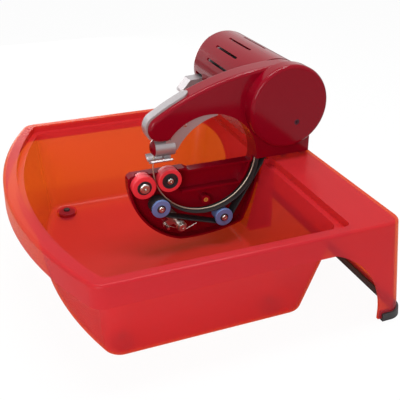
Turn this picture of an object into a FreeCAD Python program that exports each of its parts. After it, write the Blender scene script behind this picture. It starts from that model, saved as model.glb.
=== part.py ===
import FreeCAD, Part
import math
import os

# Wet ring saw standing in a water tray. Millimetres, +Z up, the bowed user side at -Y.
# The origin lies on the floor at the middle of the tray's footprint.

# Driving sizes of the tray
overall_length = 429.4
rim_half_width = 226.5
rim_height = 133.0
skirt_height = 27.0
side_flare = 4.3
front_flare = 4.3
rear_flare = 15.5
bow_radius = 485.0
rim_corner_radius = 18.0
rim_edge_radius = 4.0
shell_wall = 3.5
rim_flat = 13.0
rim_front_flat = 17.5
ledge_width = 8.0
ledge_drop = 9.0
recess_corner_radius = 8.0
deck_depth = 61.9
tub_wall = 3.0
tub_ground_gap = 3.0
tub_draft = 10.8
tub_front_draft = 8.2
tub_rear_draft = 12.5
tub_corner_radius = 20.0
tub_bottom_radius = 8.0
leg_foot_depth = 35.4
arch_overlap = 24.5
arch_bulge = 18.9
arch_straight = 9.7
strip_wrap = 2.5
strip_height = 10.0
strip_setback = 5.0
strip_sole = 3.0
foot_radius = 12.0
foot_height = 9.0
foot_pocket_wall = 2.5
foot_stem_radius = 3.0
foot_button_radius = 4.5
foot_button_height = 3.0
foot_half_span_x = 160.0
foot_front_y = -119.2
foot_rear_y = 67.8
alcove_gap = 2.0
alcove_floor_gap = 6.0
alcove_notch = 5.0

# Driving sizes of the saw head
motor_setback = 46.6
motor_rise = 70.4
ring_reach = 104.3
ring_rise = 3.8
ring_radius = 73.0
wire_radius = 0.9
throat_radius = 68.5
boss_radius = 51.5
back_radius = 328.5
nose_radius = 16.5
nose_overhang = 64.0
near_depth = 14.0
far_depth = 16.0
head_wall = 3.0
arm_edge_radius = 5.0
pedestal_inset = 3.5
jaw_near_depth = 2.0
jaw_circle_radius = 102.3
jaw_circle_back = 4.5
jaw_circle_drop = 18.4
jaw_front_drop = 7.8
jaw_rear_drop = 11.8
jaw_rib_drop = 41.8
jaw_rib_thickness = 3.0
jaw_heel_front = 54.0
jaw_heel_middle = 58.6
jaw_heel_back = 61.0
jaw_heel_drop = 106.8
jaw_heel_round = 3.2
jaw_heel_rise = 8.5
jaw_rear_back = 84.0
jaw_rear_middle = 74.5
jaw_rear_middle_drop = 61.8
jaw_belly_back = 10.0
jaw_step_reach = 22.0
jaw_step_run = 7.0
jaw_lip_reach = 97.0
nose_screw_rise = 56.4
running_gap = 0.3
pin_clearance = 0.05
press_clearance = 0.02

# Driving sizes of the drive
belt_half_width = 8.0
belt_thickness = 1.6
pulley_pitch_radius = 24.0
pulley_flange = 1.6
shaft_radius = 4.0
belt_drum_radius = 11.0
belt_flange_radius = 13.0
belt_flange_width = 3.6
belt_hub_radius = 6.0
front_belt_angle = 219.9
rear_belt_angle = 285.5
rear_belt_standoff = 2.5
pinch_tyre_radius = 16.25
pinch_half_width = 8.0
roller_pocket_gap = 1.0
front_pinch_angle = 194.5
rear_pinch_angle = 199.5
front_pinch_hub_radius = 9.8
rear_pinch_hub_radius = 11.0
roller_pin_radius = 3.0
roller_boss_radius = 6.5
pin_head_radius = 4.5
pin_head_height = 2.5

# Driving sizes of the motor
motor_wall = 2.5
motor_far_x = -176.0
end_cap_depth = 11.0
end_cap_edge_radius = 7.5
slot_count = 4
slot_width = 3.6
slot_first_angle = 76.5
slot_step_angle = 25.5
slot_near_x = -69.0
slot_far_x = -140.0
stator_radius = 38.0
stator_bore_radius = 22.4
stator_near_x = -50.0
stator_far_x = -120.0
rotor_radius = 21.4
bell_thickness = 8.0
front_bell_x = -26.0
rear_bell_x = -135.0
bearing_radius = 11.0
bell_vent_radius = 6.0
bell_vent_ring = 31.0

# Driving sizes of the pulley cover, the screws and the pulley nut
cover_radius = 55.5
cover_height = 19.0
cover_wall = 2.5
cover_edge_radius = 5.0
cover_rim_width = 5.0
cover_fix_radius = 2.0
cover_fix_head = 3.8
cover_fix_back = 11.3
cover_fix_drop = 21.4
nut_hole_radius = 12.0
nut_radius = 7.5
nut_height = 6.0
cover_screw_radius = 1.8
cover_screw_boss = 4.5
cover_screw_head = 3.4
pedestal_screw_radius = 2.0
pedestal_screw_head = 4.0
pedestal_screw_length = 14.0
pedestal_boss_radius = 5.0
end_screw_radius = 1.8
end_screw_boss = 4.0
end_screw_depth = 18.0
end_screw_inset = 3.2
end_screw_angles = (30, 120, 300)

# Driving sizes of the grey trim and its cap
guard_thickness = 3.0
guard_half_width = 8.0
guard_tip_back = 25.0
guide_tube_radius = 11.5
guide_tube_bore = 9.0
guide_tube_reach = 71.5
guide_tube_length = 26.5
guide_tube_rise = 28.0
guide_foot_radius = 19.5
guide_foot_thickness = 2.2
guide_foot_half_angle = 46.0
guide_foot_reach = 79.0
guide_foot_length = 29.0
guide_half_width = 9.0
guide_wall = 2.5
guide_start_angle = 78.0
guide_end_angle = 150.0
guide_wall_radii = (65.5, 53.5, 49.0)
guide_web_radii = (66.4, 65.6, 65.0)
guide_seat_gap = 0.1
guide_screw_radius = 1.5
guide_screw_angle = 119.0
guide_screw_inset = 3.4
cap_dome = 5.0
wire_way_gap = 1.0

# Driving sizes of the belt tensioner and the threaded insert
tension_pivot_reach = 37.2
tension_pivot_drop = 90.4
tension_sleeve_radius = 5.5
tension_sleeve_near_x = 10.0
tension_pin_radius = 4.0
spring_wire_radius = 0.6
spring_pitch = 2.2
spring_turns = 3
spring_lift = 25.0
spring_far_x = 1.0
spring_leg = 20.0
spring_peg_radius = 2.0
spring_peg_reach = 15.0
insert_back = 1.9
insert_drop = 61.3
insert_radius = 3.2
insert_bore_radius = 1.65
insert_depth = 8.0
insert_boss_radius = 6.5

# Driving sizes of the switch and the power inlet
switch_near_x = -149.0
switch_width = 23.0
switch_side_gap = 0.7
switch_pivot_reach = 40.3
switch_pivot_drop = 12.2
switch_pin_radius = 1.5
switch_boss_radius = 4.5
switch_ear_thickness = 1.5
switch_opening_drop = 27.5
switch_opening_height = 25.0
paddle_tip_radius = 5.0
paddle_tip_reach = 78.0
paddle_tip_drop = 27.0
inlet_half_width = 10.0
inlet_half_height = 7.0
inlet_wall = 2.0
inlet_drop = 26.0
inlet_depth = 9.0

# Places worked out from the sizes above
deck_rear_y = overall_length / 2 - strip_wrap - rear_flare
deck_front_y = deck_rear_y - deck_depth
rim_tip_y = -overall_length / 2 + front_flare * skirt_height / rim_height
ledge_height = rim_height - ledge_drop
motor_y = deck_rear_y - motor_setback
ring_y = motor_y - ring_reach
ring_height = rim_height + ring_rise
motor_height = ring_height + motor_rise
jaw_front_top = ring_height - jaw_front_drop
jaw_rear_top = ring_height - jaw_rear_drop
jaw_rib_height = ring_height - jaw_rib_drop
jaw_heel_low = ring_height - jaw_heel_drop
jaw_heel_high = jaw_heel_low + jaw_heel_rise
alcove_floor = jaw_heel_low - alcove_floor_gap
nose_y = ring_y - nose_overhang
motor_inner_radius = boss_radius - motor_wall
jaw_circle_y = ring_y - jaw_circle_back
jaw_circle_z = ring_height - jaw_circle_drop
jaw_back_x = -far_depth + head_wall


def point(y, z, x=0.0):
    return FreeCAD.Vector(x, y, z)


def polar(y, z, radius, degrees):
    angle = math.radians(degrees)
    return point(y + radius * math.cos(angle), z + radius * math.sin(angle))


def line(start, end):
    return Part.LineSegment(start, end).toShape()


def arc(start, middle, end):
    return Part.Arc(start, middle, end).toShape()


def face_of(edges):
    return Part.Face(Part.Wire(Part.__sortEdges__(edges)))


def prism_x(face, x_low, x_high):
    moved = face.copy()
    moved.translate(FreeCAD.Vector(x_low, 0, 0))
    return moved.extrude(FreeCAD.Vector(x_high - x_low, 0, 0))


def rod_x(radius, x_low, x_high, y, z):
    return Part.makeCylinder(radius, x_high - x_low, point(y, z, x_low), FreeCAD.Vector(1, 0, 0))


def tube_x(outer, inner, x_low, x_high, y, z):
    return rod_x(outer, x_low, x_high, y, z).cut(rod_x(inner, x_low - 1, x_high + 1, y, z))


def box(x_low, x_high, y_low, y_high, z_low, z_high):
    corner = FreeCAD.Vector(x_low, y_low, z_low)
    return Part.makeBox(x_high - x_low, y_high - y_low, z_high - z_low, corner)


def fuse_all(shapes):
    return shapes[0].multiFuse(shapes[1:]).removeSplitter()


def save(name, shape):
    solids = shape.Solids
    clean = solids[0] if len(solids) == 1 else Part.makeCompound(solids)
    clean.exportStep("parts/" + name + ".step")
    print(name, len(solids), "solids", round(clean.Volume), "mm3", "valid", clean.isValid())


# Tray outlines: straight rear and sides, one bowed front


def basin_wire(half_width, tip_y, rear_y, z):
    corner_y = tip_y + bow_radius - math.sqrt(bow_radius**2 - half_width**2)
    left_rear = point(rear_y, z, -half_width)
    right_rear = point(rear_y, z, half_width)
    right_front = point(corner_y, z, half_width)
    left_front = point(corner_y, z, -half_width)
    edges = [
        line(left_rear, right_rear),
        line(right_rear, right_front),
        arc(right_front, point(tip_y, z), left_front),
        line(left_front, left_rear),
    ]
    return Part.Wire(edges)


def hull_wire(inset, z):
    share = 1 - z / rim_height
    return basin_wire(
        rim_half_width + side_flare * share - inset,
        rim_tip_y - front_flare * share + inset,
        deck_rear_y + rear_flare * share - inset,
        z,
    )


def well_wire(outset, z):
    depth = ledge_height - z
    side = ledge_width + depth * math.tan(math.radians(tub_draft)) - outset
    rear = ledge_width + depth * math.tan(math.radians(tub_rear_draft)) - outset
    front = ledge_width + depth * math.tan(math.radians(tub_front_draft)) - outset
    half_width = rim_half_width - rim_flat - side
    return basin_wire(half_width, rim_tip_y + rim_front_flat + front, deck_front_y - rear, z)


def recess_wire(outset, z):
    half_width = rim_half_width - rim_flat + outset
    return basin_wire(half_width, rim_tip_y + rim_front_flat - outset, deck_front_y + outset, z)


def drafted(low_wire, high_wire, corner_radius):
    solid = Part.makeLoft([low_wire, high_wire], True, True)
    upright = [edge for edge in solid.Edges if edge.BoundBox.ZLength > 1.0]
    return solid.makeFillet(corner_radius, upright)


def edges_at_height(solid, z):
    return [e for e in solid.Edges if abs(e.BoundBox.ZMin - z) < 0.01 and e.BoundBox.ZLength < 0.01]


def hull(inset, z_low, z_high):
    return drafted(hull_wire(inset, z_low), hull_wire(inset, z_high), rim_corner_radius - inset)


def well(outset, z_low, z_high):
    solid = drafted(well_wire(outset, z_low), well_wire(outset, z_high), tub_corner_radius + outset)
    return solid.makeFillet(tub_bottom_radius + outset, edges_at_height(solid, z_low))


def recess(outset, z_low, z_high):
    radius = recess_corner_radius + outset
    return drafted(recess_wire(outset, z_low), recess_wire(outset, z_high), radius)


def leg_opening():
    """Everything under the skirt in front of the two rear legs."""
    far = 2 * rim_half_width
    foot_y = deck_rear_y + rear_flare - leg_foot_depth
    low = point(foot_y, arch_straight)
    skirt_z = rim_height - skirt_height
    high = point(deck_front_y - arch_overlap, skirt_z)
    chord = high.sub(low)
    across = FreeCAD.Vector(0, chord.z, -chord.y).normalize()
    crown = low + chord * 0.5 + across * arch_bulge
    front_y = -overall_length
    corners = [point(front_y, skirt_z), point(front_y, -skirt_height), point(foot_y, -skirt_height)]
    edges = [
        line(high, corners[0]),
        line(corners[0], corners[1]),
        line(corners[1], corners[2]),
        line(corners[2], low),
        arc(low, crown, high),
    ]
    return prism_x(face_of(edges), -far, far)


def foot_places():
    return [(x, y) for x in (-foot_half_span_x, foot_half_span_x) for y in (foot_front_y, foot_rear_y)]


def tray():
    floor_top = tub_ground_gap + tub_wall
    clear_above = rim_height + tub_wall
    outer = hull(0, 0, rim_height)
    outer = outer.makeFillet(rim_edge_radius, edges_at_height(outer, rim_height))
    shell = outer.cut(hull(shell_wall, -shell_wall, rim_height - shell_wall))
    shell = shell.cut(leg_opening())
    shell = shell.cut(box(-overall_length, overall_length, 0, overall_length, -1, strip_sole))
    shell = shell.cut(recess(0, ledge_height - tub_wall, clear_above))
    ledge = recess(tub_wall, ledge_height - tub_wall, rim_height)
    ledge = ledge.cut(recess(0, ledge_height, clear_above))
    outer_tub = well(tub_wall, tub_ground_gap, ledge_height)
    alcove_y = deck_front_y + alcove_notch
    near_x = belt_half_width + alcove_gap + tub_wall
    far_x = -far_depth - alcove_gap
    front_y = ring_y
    cheek = box(
        far_x - tub_wall,
        near_x,
        front_y,
        alcove_y + tub_wall,
        alcove_floor - tub_wall,
        rim_height - shell_wall,
    )
    pocket = box(far_x, near_x - tub_wall, front_y, alcove_y, alcove_floor, clear_above)
    body = shell.multiFuse([ledge, outer_tub, cheek])
    body = body.cut(well(0, floor_top, clear_above))
    body = body.cut(pocket)
    cup_top = foot_height + foot_pocket_wall
    for x, y in foot_places():
        cup_radius = foot_radius + running_gap + foot_pocket_wall
        cup = Part.makeCylinder(cup_radius, cup_top - tub_ground_gap, point(y, tub_ground_gap, x))
        cup = cup.makeFillet(1.5, edges_at_height(cup, cup_top))
        body = body.fuse(cup)
        hollow = Part.makeCylinder(foot_radius + running_gap, foot_height, point(y, 0, x))
        hole = Part.makeCylinder(foot_stem_radius + press_clearance, 2 * cup_top, point(y, 0, x))
        body = body.cut(hollow.fuse(hole))
    for x, y in pedestal_screw_places():
        hole_radius = pedestal_screw_radius + pin_clearance
        body = body.cut(Part.makeCylinder(hole_radius, rim_height, point(y, rim_height / 2, x)))
    return body.removeSplitter()


def tray_feet():
    cup_top = foot_height + foot_pocket_wall
    feet = []
    for x, y in foot_places():
        pad = Part.makeCylinder(foot_radius, foot_height, point(y, 0, x))
        pad = pad.makeChamfer(1.5, edges_at_height(pad, 0))
        stem = Part.makeCylinder(foot_stem_radius, cup_top, point(y, 0, x))
        button = Part.makeCylinder(foot_button_radius, foot_button_height, point(y, cup_top, x))
        button = button.makeFillet(1.5, edges_at_height(button, cup_top + foot_button_height))
        feet.append(fuse_all([pad, stem, button]))
    return Part.makeCompound(feet)


def end_foot_strip(tray_shape):
    outside = hull(-strip_wrap, 0, rim_height)
    inside = hull(shell_wall + strip_wrap, -shell_wall, rim_height)
    band = outside.cut(inside)
    front_y = deck_rear_y + rear_flare - leg_foot_depth + strip_setback
    band = band.common(box(-overall_length, overall_length, front_y, overall_length, 0, strip_height))
    return band.cut(tray_shape)


# Head outlines in the plane of the ring


def arm_face(inset):
    """Side view of arm and column, drawn in by the inset on every side."""
    throat = throat_radius + inset
    boss = boss_radius - inset
    back = back_radius - inset
    nose = nose_radius - inset
    floor_z = rim_height + inset
    rear_y = deck_rear_y - pedestal_inset - inset
    back_z = motor_height + boss_radius - back_radius
    nose_z = back_z + math.sqrt((back_radius - nose_radius) ** 2 - (motor_y - nose_y) ** 2)
    front = point(ring_y + math.sqrt(throat**2 - (ring_height - floor_z) ** 2), floor_z)
    rear = point(rear_y, floor_z)
    boss_angle = -math.degrees(math.acos((rear_y - motor_y) / boss))
    boss_start = polar(motor_y, motor_height, boss, boss_angle)
    boss_middle = polar(motor_y, motor_height, boss, (boss_angle + 90) / 2)
    top = point(motor_y, motor_height + boss)
    nose_angle = math.degrees(math.atan2(nose_z - back_z, nose_y - motor_y))
    back_middle = polar(motor_y, back_z, back, (90 + nose_angle) / 2)
    brow = polar(motor_y, back_z, back, nose_angle)
    nose_middle = polar(nose_y, nose_z, nose, (nose_angle + 270) / 2)
    chin = point(nose_y, nose_z - nose)
    lip = point(ring_y - math.sqrt(throat**2 - (chin.z - ring_height) ** 2), chin.z)
    edges = [
        line(front, rear),
        line(rear, boss_start),
        arc(boss_start, boss_middle, top),
        arc(top, back_middle, brow),
        arc(brow, nose_middle, chin),
        line(chin, lip),
        arc(lip, polar(ring_y, ring_height, throat, 70), front),
    ]
    return face_of(edges)


def jaw_face():
    """Side view of the lower jaw, open towards the near side."""
    heel_low = point(ring_y + jaw_heel_front, jaw_heel_low)
    heel_middle = point(ring_y + jaw_heel_middle, jaw_heel_low + jaw_heel_round)
    heel_high = point(ring_y + jaw_heel_back, jaw_heel_high)
    rear_high = point(ring_y + jaw_rear_back, jaw_rear_top - 5.0)
    rear_top = point(rear_high.y + 1.0, rim_height)
    rise = ring_height - rim_height
    column_front = point(ring_y + math.sqrt(throat_radius**2 - rise**2), rim_height)
    drop = ring_height - jaw_rear_top
    throat_foot = point(ring_y + math.sqrt(throat_radius**2 - drop**2), jaw_rear_top)
    step_low = point(ring_y - jaw_step_reach, jaw_rear_top)
    step_high = point(step_low.y - jaw_step_run, jaw_front_top)
    lip = point(ring_y - jaw_lip_reach, jaw_front_top)
    cheek = polar(jaw_circle_y, jaw_circle_z, jaw_circle_radius, 178)
    lip_round = point(cheek.y + 3.0, cheek.z + 5.2)
    belly = polar(jaw_circle_y, jaw_circle_z, jaw_circle_radius, 252)
    edges = [
        arc(cheek, polar(jaw_circle_y, jaw_circle_z, jaw_circle_radius, 215), belly),
        arc(belly, point(ring_y + jaw_belly_back, belly.z), heel_low),
        arc(heel_low, heel_middle, heel_high),
        arc(heel_high, point(ring_y + jaw_rear_middle, ring_height - jaw_rear_middle_drop), rear_high),
        line(rear_high, rear_top),
        line(rear_top, column_front),
        arc(column_front, polar(ring_y, ring_height, throat_radius, -6), throat_foot),
        line(throat_foot, step_low),
        line(step_low, step_high),
        line(step_high, lip),
        arc(lip, lip_round, cheek),
    ]
    return face_of(edges)


def near_edges(solid, x):
    """Long outer edges of arm and nose in the plane x."""
    chosen = []
    for edge in solid.Edges:
        flat = abs(edge.BoundBox.XMin - x) < 0.01 and edge.BoundBox.XLength < 0.01
        above_deck = edge.BoundBox.ZMax > motor_height - boss_radius
        curved = edge.Curve.TypeId == "Part::GeomCircle"
        throat = curved and abs(edge.Curve.Radius - throat_radius) < 0.01
        if flat and above_deck and curved and not throat:
            chosen.append(edge)
    return chosen


# Rollers: a place on the ring, worked out from what each one touches


def on_ring(radius, degrees):
    spot = polar(ring_y, ring_height, radius, degrees)
    return spot.y, spot.z


belt_inner_radius = ring_radius + wire_radius + running_gap
belt_line_radius = belt_inner_radius + belt_thickness / 2
belt_roller_pitch = belt_drum_radius + running_gap + belt_thickness / 2
belt_roller_reach = belt_line_radius + belt_roller_pitch
front_belt_roller = on_ring(belt_roller_reach, front_belt_angle)
rear_belt_roller = on_ring(belt_roller_reach + rear_belt_standoff, rear_belt_angle)
pinch_offset = wire_radius + running_gap + pinch_tyre_radius
front_pinch_roller = on_ring(ring_radius + pinch_offset, front_pinch_angle)
rear_pinch_roller = on_ring(ring_radius - pinch_offset, rear_pinch_angle)
roller_back_x = -pinch_half_width - running_gap
boss_front_x = roller_back_x - running_gap
belt_roller_front_x = belt_half_width + running_gap + belt_flange_width
tension_pivot = (ring_y - tension_pivot_reach, ring_height - tension_pivot_drop)
tension_plate_far_x = jaw_back_x + 0.5
tension_plate_near_x = tension_plate_far_x + 2.5
spring_coil_radius = tension_sleeve_radius + 1.2
spring_first_angle = -90.0 - spring_lift
spring_last_angle = 360.0 * spring_turns - 90.0 + spring_lift
insert_place = (ring_y + insert_back, ring_height - insert_drop)


def spring_leg_point(angle, distance):
    """Point on a straight leg of the torsion spring, counted from the coil."""
    return helix_point(angle) + helix_direction(angle) * distance


def spring_peg(angle, distance, gap):
    """Place of a peg just under a leg of the torsion spring."""
    spot = spring_leg_point(angle, distance)
    away = spring_peg_radius + spring_wire_radius + gap
    turn = math.radians(angle)
    return spot.y + away * math.cos(turn), spot.z + away * math.sin(turn)


def cover_screw_places():
    return [
        (nose_y, ring_height + nose_screw_rise),
        (ring_y + 15.0, ring_height + 89.0),
        (ring_y + 60.0, ring_height + 99.0),
        (deck_rear_y - 12.0, rim_height + 34.0),
    ]


def pedestal_screw_places():
    rows = (deck_rear_y - 38.0, deck_rear_y - 9.0)
    return [(x, y) for x in (-far_depth / 2, near_depth / 2) for y in rows]


def belt_passage(x_low, x_high):
    """Way down through the foot of the column for the wire and both runs of the belt."""
    low_y = ring_y + throat_radius + head_wall
    high_y = deck_front_y + alcove_notch - tub_wall / 2
    return box(x_low, x_high, low_y, high_y, jaw_rear_top - 4.0, rim_height + 8.0)


def head_frame():
    arm = prism_x(arm_face(0), -far_depth, 0)
    arm = arm.makeFillet(arm_edge_radius, near_edges(arm, -far_depth))
    jaw = prism_x(jaw_face(), -far_depth, -jaw_near_depth)
    arm_space = prism_x(arm_face(head_wall), jaw_back_x, 1)
    inner_jaw = jaw_face().makeOffset2D(-head_wall)
    jaw_space = prism_x(inner_jaw, jaw_back_x, 1)
    body = arm.fuse(jaw).cut(arm_space).cut(jaw_space)
    body = body.cut(belt_passage(-belt_half_width - 1.5, 1))
    rib_end_y = ring_y + math.sqrt(throat_radius**2 - (ring_height - jaw_rib_height) ** 2)
    rib_low = jaw_rib_height - jaw_rib_thickness
    shelf = box(jaw_back_x, -jaw_near_depth, ring_y - 33.0, rib_end_y - 1.0, rib_low, jaw_rib_height)
    ends = (-10.0, -40.0)
    curve_inner = throat_radius - jaw_rib_thickness
    starts = [polar(ring_y, ring_height, radius, ends[0]) for radius in (curve_inner, throat_radius)]
    middles = [polar(ring_y, ring_height, radius, -25) for radius in (curve_inner, throat_radius)]
    stops = [polar(ring_y, ring_height, radius, ends[1]) for radius in (curve_inner, throat_radius)]
    curve_edges = [
        arc(starts[0], middles[0], stops[0]),
        line(stops[0], stops[1]),
        arc(stops[1], middles[1], starts[1]),
        line(starts[1], starts[0]),
    ]
    curve = prism_x(face_of(curve_edges), jaw_back_x, -jaw_near_depth)
    additions = [shelf, curve]
    for y, z in (front_pinch_roller, rear_pinch_roller, rear_belt_roller):
        additions.append(rod_x(roller_boss_radius, jaw_back_x, boss_front_x, y, z))
    additions.append(rod_x(insert_boss_radius, jaw_back_x, -jaw_near_depth, *insert_place))
    peg = spring_peg(spring_last_angle, spring_peg_reach, 0)
    peg_near_x = spring_far_x + spring_pitch * (spring_turns + 1)
    additions.append(rod_x(spring_peg_radius, jaw_back_x, peg_near_x, *peg))
    for y, z in cover_screw_places():
        additions.append(rod_x(cover_screw_boss, jaw_back_x, 0, y, z))
    for x, y in pedestal_screw_places():
        if x < 0:
            post = Part.makeCylinder(pedestal_boss_radius, pedestal_screw_length, point(y, rim_height, x))
            additions.append(post)
    body = body.multiFuse(additions)
    cuts = [rod_x(shaft_radius + 4.0, -far_depth - 1, jaw_back_x + 1, motor_y, motor_height)]
    for y, z in (front_pinch_roller, rear_pinch_roller, rear_belt_roller):
        cuts.append(rod_x(roller_pin_radius + press_clearance, -far_depth - 1, 0, y, z))
    for y, z in (front_pinch_roller, rear_pinch_roller):
        cuts.append(rod_x(pinch_tyre_radius + roller_pocket_gap, boss_front_x, 1, y, z))
    cuts.append(rod_x(tension_pin_radius + press_clearance, -far_depth - 1, 0, *tension_pivot))
    insert_low_x = -jaw_near_depth - insert_depth
    cuts.append(rod_x(insert_radius + press_clearance, insert_low_x, 0, *insert_place))
    for y, z in cover_screw_places():
        cuts.append(rod_x(cover_screw_radius + press_clearance, -far_depth - 1, 1, y, z))
        cuts.append(rod_x(cover_screw_head + pin_clearance, -far_depth - 1, -far_depth + 2.0, y, z))
    for x, y in pedestal_screw_places():
        hole_radius = pedestal_screw_radius + press_clearance
        cuts.append(Part.makeCylinder(hole_radius, pedestal_screw_length - 2.0, point(y, rim_height - 1, x)))
    nose_slot = box(-3.0, 1, nose_y - 4.0, nose_y + 12.0, ring_height + 35.0, ring_height + 50.0)
    return body.cut(Part.makeCompound(cuts)).cut(nose_slot)


def arm_cover():
    arm = prism_x(arm_face(0), 0, near_depth)
    arm = arm.makeFillet(arm_edge_radius, near_edges(arm, near_depth))
    space = prism_x(arm_face(head_wall), -1, near_depth - head_wall)
    body = arm.cut(space).cut(belt_passage(-1, belt_half_width + 1.5))
    additions = []
    for y, z in cover_screw_places():
        additions.append(rod_x(cover_screw_boss, 0, near_depth - head_wall, y, z))
    for x, y in pedestal_screw_places():
        if x > 0:
            post = Part.makeCylinder(pedestal_boss_radius, pedestal_screw_length, point(y, rim_height, x))
            additions.append(post)
    body = body.multiFuse(additions)
    cuts = [rod_x(nut_hole_radius, near_depth - 2 * head_wall, near_depth + 1, motor_y, motor_height)]
    cuts.append(rod_x(cover_fix_radius + press_clearance, 0, near_depth + 1, *cover_fix_place))
    for y, z in cover_screw_places():
        cuts.append(rod_x(cover_screw_radius + press_clearance, -1, near_depth - head_wall, y, z))
    for x, y in pedestal_screw_places():
        hole_radius = pedestal_screw_radius + press_clearance
        cuts.append(Part.makeCylinder(hole_radius, pedestal_screw_length - 2.0, point(y, rim_height - 1, x)))
    nose_slot = box(-1, 3.0, nose_y - 4.0, nose_y + 12.0, ring_height + 35.0, ring_height + 50.0)
    return body.cut(Part.makeCompound(cuts)).cut(nose_slot)


# Pulley cover with its screw
cover_fix_place = (motor_y + cover_fix_back, motor_height - cover_fix_drop)


def pulley_cover():
    top_x = near_depth + cover_height
    body = rod_x(cover_radius, near_depth, top_x, motor_y, motor_height)
    rim = [e for e in body.Edges if abs(e.BoundBox.XMin - top_x) < 0.01 and e.BoundBox.XLength < 0.01]
    body = body.makeFillet(cover_edge_radius, rim)
    body = body.cut(rod_x(cover_radius - cover_rim_width, 0, top_x - cover_wall, motor_y, motor_height))
    post = rod_x(cover_fix_head + 2.0, near_depth, top_x - cover_wall / 2, *cover_fix_place)
    body = body.fuse(post)
    body = body.cut(rod_x(cover_fix_radius + pin_clearance, 0, top_x + 1, *cover_fix_place))
    return body.cut(rod_x(cover_fix_head + pin_clearance, top_x - cover_wall, top_x + 1, *cover_fix_place))


def pulley_cover_screw():
    top_x = near_depth + cover_height
    head = rod_x(cover_fix_head, top_x - cover_wall, top_x - 0.3, *cover_fix_place)
    shank = rod_x(cover_fix_radius, near_depth - head_wall, top_x - cover_wall, *cover_fix_place)
    y, z = cover_fix_place
    slots = [
        box(top_x - 1.6, top_x, y - 0.5, y + 0.5, z - 2.4, z + 2.4),
        box(top_x - 1.6, top_x, y - 2.4, y + 2.4, z - 0.5, z + 0.5),
    ]
    return head.fuse(shank).cut(Part.makeCompound(slots))


def cover_screws():
    screws = []
    for y, z in cover_screw_places():
        head = rod_x(cover_screw_head, -far_depth, -far_depth + 2.0, y, z)
        shank = rod_x(cover_screw_radius, -far_depth, near_depth - head_wall - 2.0, y, z)
        socket = rod_x(1.2, -far_depth - 1, -far_depth + 1.2, y, z)
        screws.append(head.fuse(shank).cut(socket))
    return Part.makeCompound(screws)


def pedestal_screws():
    screws = []
    under_deck = rim_height - shell_wall
    for x, y in pedestal_screw_places():
        head = Part.makeCylinder(pedestal_screw_head, 3.0, point(y, under_deck - 3.0, x))
        length = shell_wall + pedestal_screw_length - 5.0
        shank = Part.makeCylinder(pedestal_screw_radius, length, point(y, under_deck, x))
        socket = Part.makeCylinder(1.5, 2.6, point(y, under_deck - 4.0, x))
        screws.append(head.fuse(shank).cut(socket))
    return Part.makeCompound(screws)


# Grey trim: the strip over the nose and the rail under the arm


def nose_guard():
    outside = prism_x(arm_face(-guard_thickness), -guard_half_width, guard_half_width)
    inside = prism_x(arm_face(0), -far_depth - 1, near_depth + 1)
    strip = outside.cut(inside)
    tip_y = ring_y - guard_tip_back
    floor_z = ring_height + 43.2
    front_y = nose_y - 2 * (nose_radius + guard_thickness)
    top_z = motor_height + boss_radius
    end_y = tip_y - guard_half_width
    keep = box(-guard_half_width, guard_half_width, front_y, end_y, floor_z, top_z)
    tongue = Part.makeCylinder(guard_half_width, top_z - floor_z, point(end_y, floor_z))
    strip = strip.common(keep.fuse(tongue))
    strip = strip.cut(rod_x(ring_radius + 5.0, -30, 30, ring_y, ring_height))
    return max(strip.Solids, key=lambda solid: solid.Volume)


guide_tube_front_y = ring_y - guide_tube_reach
guide_tube_rear_y = guide_tube_front_y + guide_tube_length
guide_tube_z = ring_height + guide_tube_rise
guide_foot_front_y = ring_y - guide_foot_reach
guide_foot_rear_y = guide_foot_front_y + guide_foot_length
guide_outer_radius = throat_radius - guide_seat_gap


def guide_sector(first, middle, last, x_low, x_high):
    """Rail piece between the throat and an inner curve through three radii."""
    centre = (ring_y, ring_height)
    half_way = (guide_start_angle + guide_end_angle) / 2
    outer = [polar(*centre, guide_outer_radius, a) for a in (guide_start_angle, half_way, guide_end_angle)]
    inner = [
        polar(*centre, first, guide_start_angle),
        polar(*centre, middle, half_way),
        polar(*centre, last, guide_end_angle),
    ]
    edges = [arc(*outer), line(outer[2], inner[2]), arc(*inner), line(inner[0], outer[0])]
    return prism_x(face_of(edges), x_low, x_high)


def rod_y(radius, y_low, y_high, x, z):
    return Part.makeCylinder(radius, y_high - y_low, point(y_low, z, x), FreeCAD.Vector(0, 1, 0))


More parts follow.
